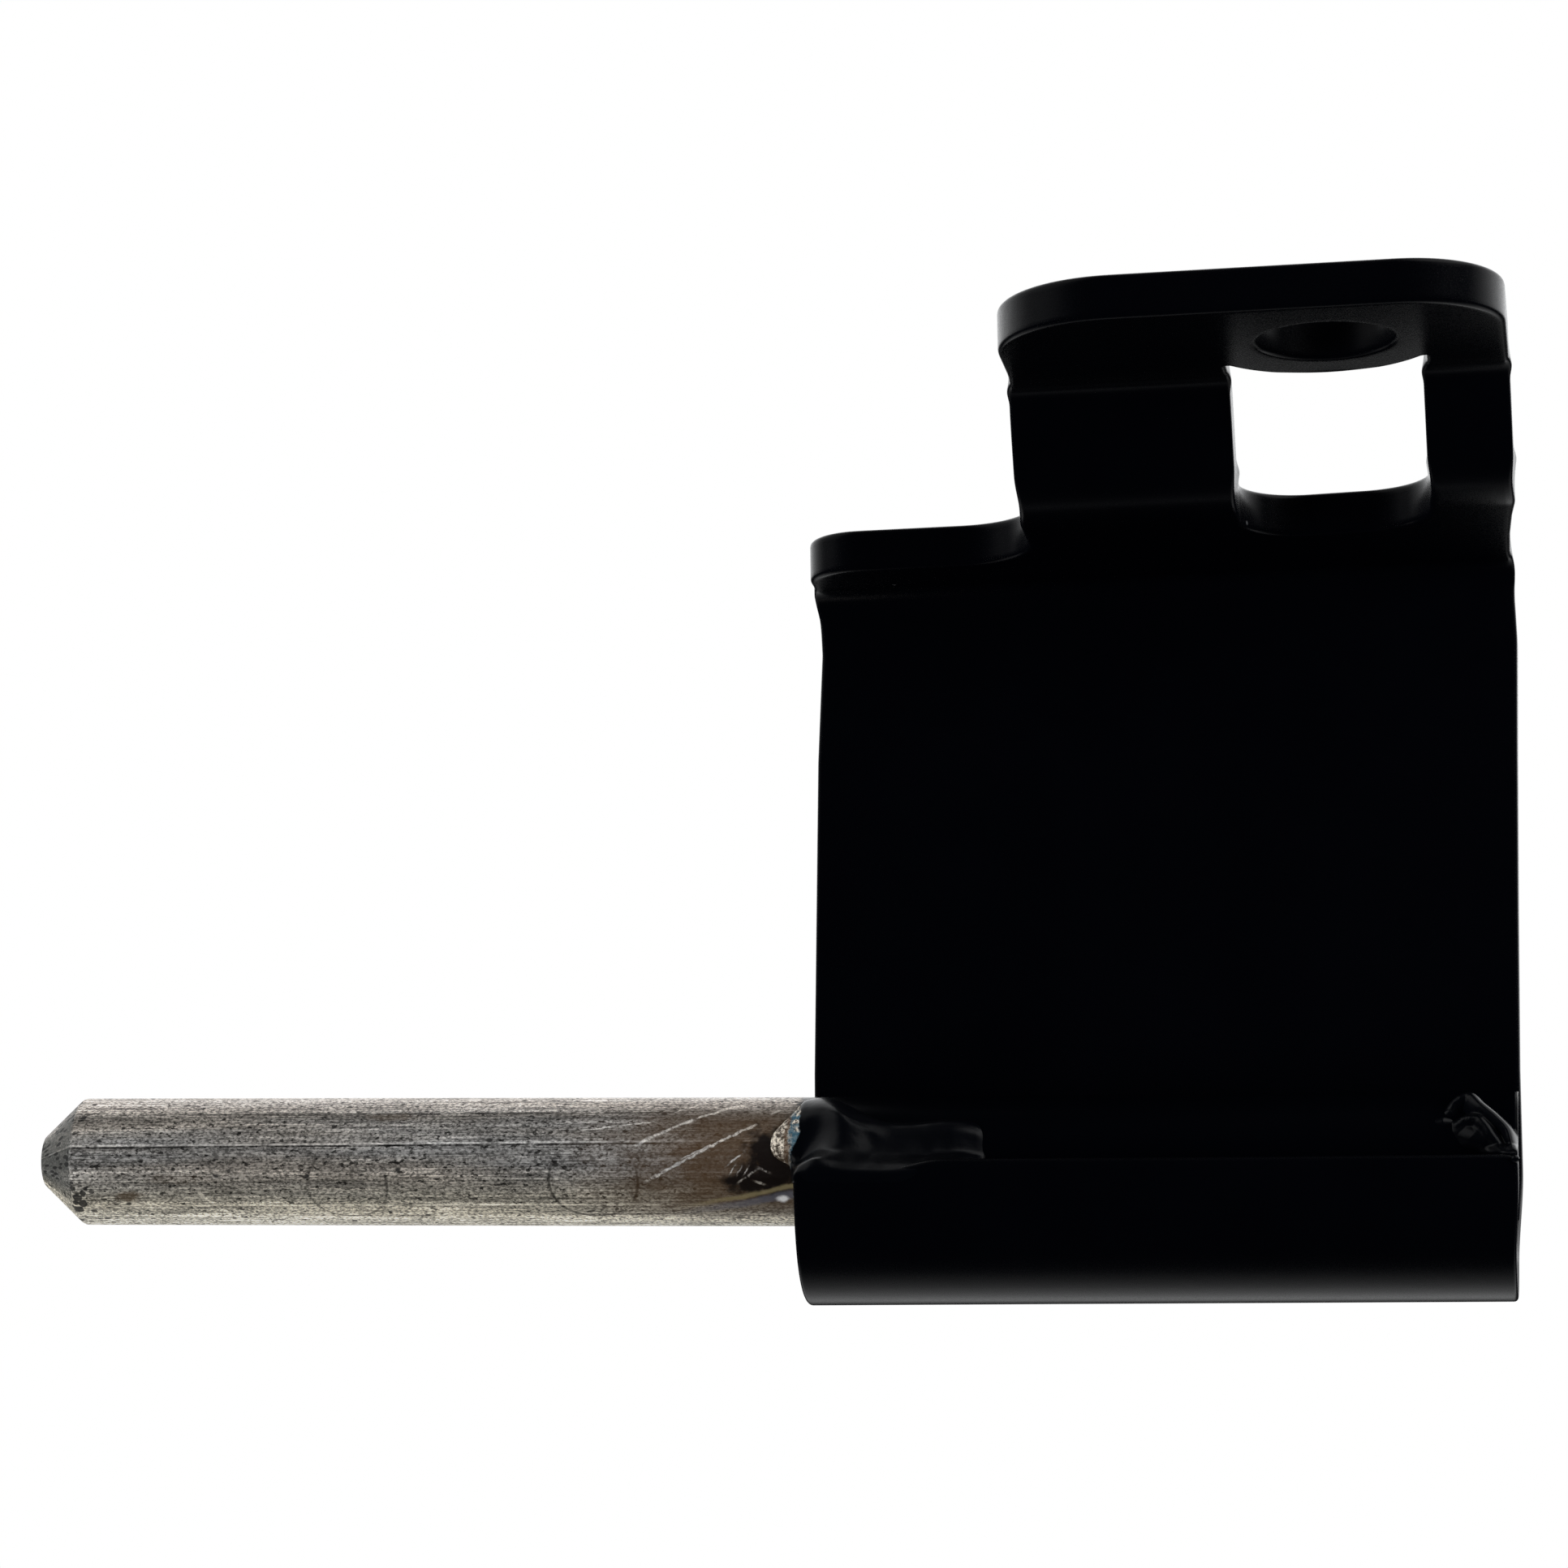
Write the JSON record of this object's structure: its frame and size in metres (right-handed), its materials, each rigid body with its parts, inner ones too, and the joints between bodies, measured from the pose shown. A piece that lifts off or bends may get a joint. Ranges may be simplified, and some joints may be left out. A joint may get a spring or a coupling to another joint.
{
  "type": "hinge pin bracket",
  "caption": "Formed steel hinge half: a flat plate rolled into an open eye, a round pin welded in the eye and standing out to one side, and an offset tab with a window and a bolt hole.",
  "frame": {"origin": "on the pin's axis, at the inner end of the pin's bare stretch, where the weld's toe begins", "axes": "+X along the pin from its free end into the eye, +Y from the plate's front to its back, +Z from the eye up the plate"},
  "size_m": [0.1867, 0.0779, 0.1131],
  "materials": {
    "black_coat": "satin black coating on formed steel sheet",
    "pin_steel": "bare drawn steel bar with fine pits, heat stain near the weld and black coating inside the eye",
    "weld_coat": "satin black coating over a rippled weld bead"
  },
  "bodies": {
    "root": {"bracket_plate": "black_coat", "hinge_pin": "pin_steel", "weld_left": "weld_coat", "weld_right": "weld_coat"}
  },
  "joints": []
}
